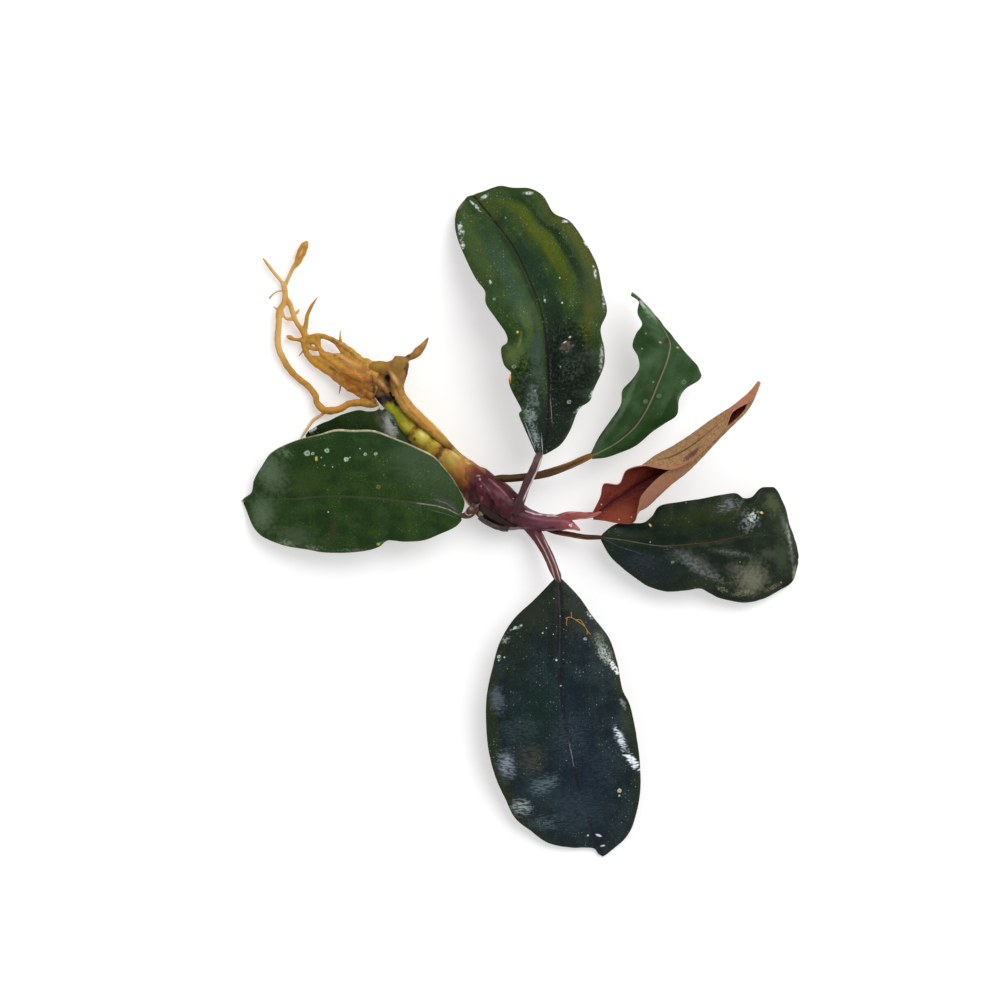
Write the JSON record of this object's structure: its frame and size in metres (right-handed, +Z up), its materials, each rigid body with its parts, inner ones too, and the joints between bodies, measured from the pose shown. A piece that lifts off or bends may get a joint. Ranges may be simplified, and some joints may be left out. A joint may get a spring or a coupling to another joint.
{
  "type": "bucephalandra plant cutting",
  "caption": "Loose water plant cutting with a creeping rhizome, orange roots, a maroon crown and dark oval wavy leaves, lying flat.",
  "frame": {"origin": "on the resting surface, in the flat of the rhizome's underside below the crown", "axes": "+Z up from the surface, +Y along the plant's longest extent towards the large wavy leaf, +X towards the dark glossy leaf"},
  "size_m": [0.0898, 0.1078, 0.0122],
  "materials": {
    "old_leaf": "satin",
    "fresh_leaf": "satin",
    "young_leaf": "satin",
    "stalk": "satin",
    "sheath": "satin",
    "rhizome": "satin",
    "old_wood": "matte",
    "root": "satin"
  },
  "bodies": {
    "root": {"rhizome": "rhizome", "sheath": "sheath", "bract": "old_wood", "old_stump": "old_wood", "spur": "old_wood", "stalk_top": "stalk", "stalk_upper_right": "stalk", "stalk_young": "stalk", "stalk_right": "stalk", "stalk_bottom": "stalk", "stalk_left": "stalk", "stalk_under": "stalk", "leaf_top": "old_leaf", "leaf_upper_right": "fresh_leaf", "leaf_young": "young_leaf", "leaf_right": "old_leaf", "leaf_bottom": "old_leaf", "leaf_left": "old_leaf", "leaf_under": "old_leaf", "root_side": "root", "root_long": "root", "root_tip_left": "root", "root_tip_right": "root", "root_inner": "root", "root_twig": "root", "root_upper_strand": "root", "root_middle_strand": "root", "root_top_strand": "root", "root_lower_strand": "root", "rootlet_pale": "root"}
  },
  "joints": []
}
